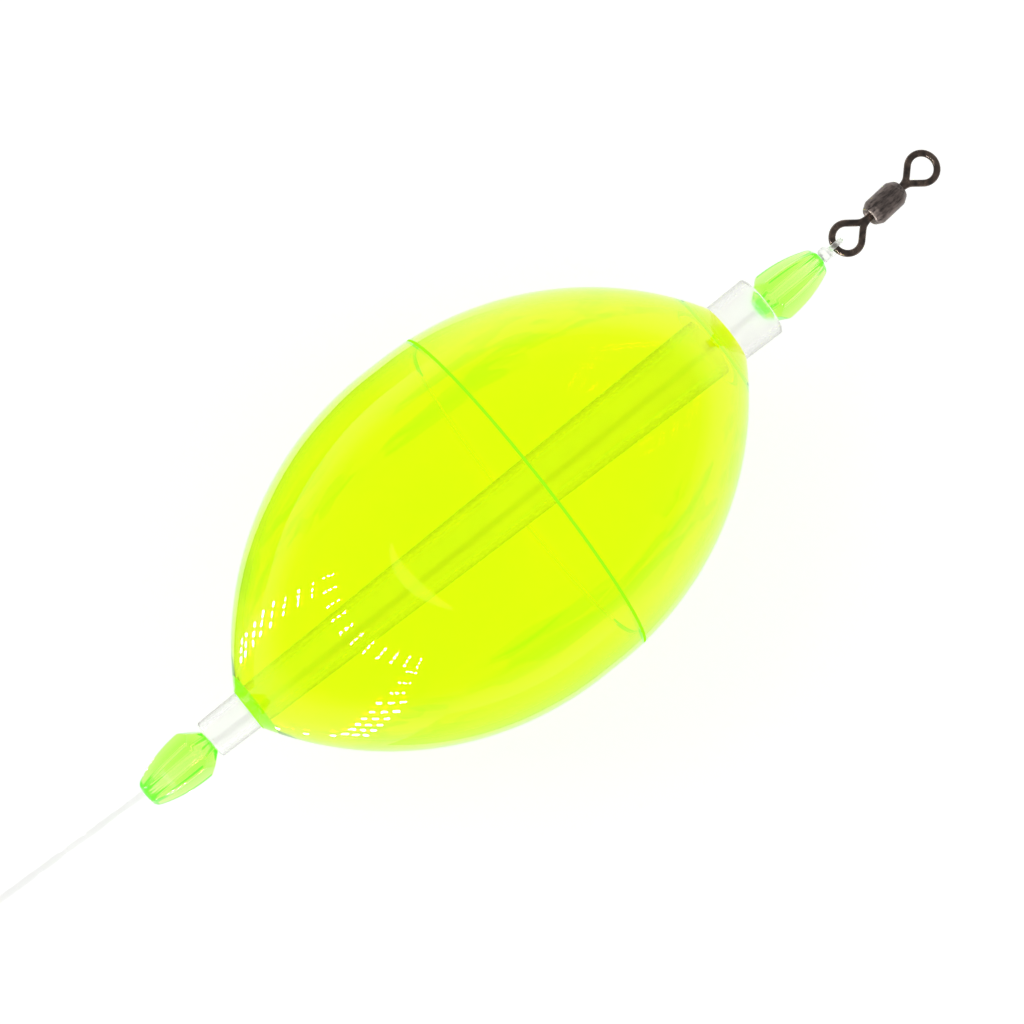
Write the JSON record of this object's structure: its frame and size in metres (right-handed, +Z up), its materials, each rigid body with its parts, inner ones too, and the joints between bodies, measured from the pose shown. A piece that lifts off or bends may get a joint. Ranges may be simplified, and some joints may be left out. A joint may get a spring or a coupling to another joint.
{
  "type": "bobber float",
  "caption": "Clear neon casting-bubble float on a tapered peg tube, threaded on mono line between two faceted beads, with a barrel swivel.",
  "frame": {"origin": "on the surface the float lies on, at the flat of its band, under the middle of the shell's length", "axes": "+X along the float's axis from the free line towards the swivel, +Y across it, +Z up"},
  "size_m": [0.1475, 0.0406, 0.0404],
  "materials": {
    "shell": "clear fluorescent yellow-green polystyrene, polished",
    "tube": "milky clear, slightly frosted",
    "bead": "clear green, moulded facets",
    "mono": "clear nylon monofilament",
    "swivel": "black nickel plating, satin barrel and glossier eyes"
  },
  "bodies": {
    "float": {"shell_body": "shell", "shell_cap": "shell"},
    "peg": {"peg_tube": "tube"},
    "line": {"main_line": "mono", "line_tail": "mono", "end_loop": "mono"},
    "tail_bead_body": {"tail_bead": "bead"},
    "head_bead_body": {"head_bead": "bead"},
    "line_eye": {"swivel_line_eye": "swivel"},
    "barrel": {"swivel_barrel": "swivel"},
    "free_eye": {"swivel_free_eye": "swivel"}
  },
  "joints": [
    {"name": "peg_pull", "type": "slide", "parent": "float", "child": "peg", "axis": [1, 0, 0], "range_m": [0, 0.0055]},
    {"name": "line_slide", "type": "slide", "parent": "peg", "child": "line", "axis": [1, 0, 0], "range_m": [0, 0.018]},
    {"name": "tail_bead_slide", "type": "slide", "parent": "line", "child": "tail_bead_body", "axis": [-0.9995, 0.0312, 0], "range_m": [0, 0.018]},
    {"name": "head_bead_slide", "type": "slide", "parent": "peg", "child": "head_bead_body", "axis": [1, 0, 0], "range_m": [0, 0.009]},
    {"name": "eye_pivot", "type": "hinge", "parent": "line", "child": "line_eye", "pos_m": [0.04674, 0.00035, 0.02017], "axis": [-0.178, -0.9834, 0.036], "range_deg": [-60, 60]},
    {"name": "barrel_spin", "type": "hinge", "parent": "line_eye", "child": "barrel", "pos_m": [0.05412, 0.00052, 0.01914], "axis": [0.9871, 0.0794, -0.1392], "continuous": true},
    {"name": "free_eye_spin", "type": "hinge", "parent": "barrel", "child": "free_eye", "pos_m": [0.05412, 0.00052, 0.01914], "axis": [0.9871, 0.0794, -0.1392], "continuous": true}
  ],
  "couplings": [
    {"joint": "tail_bead_slide", "follows": "line_slide", "ratio": 1},
    {"joint": "head_bead_slide", "follows": "line_slide", "ratio": 0.5}
  ]
}
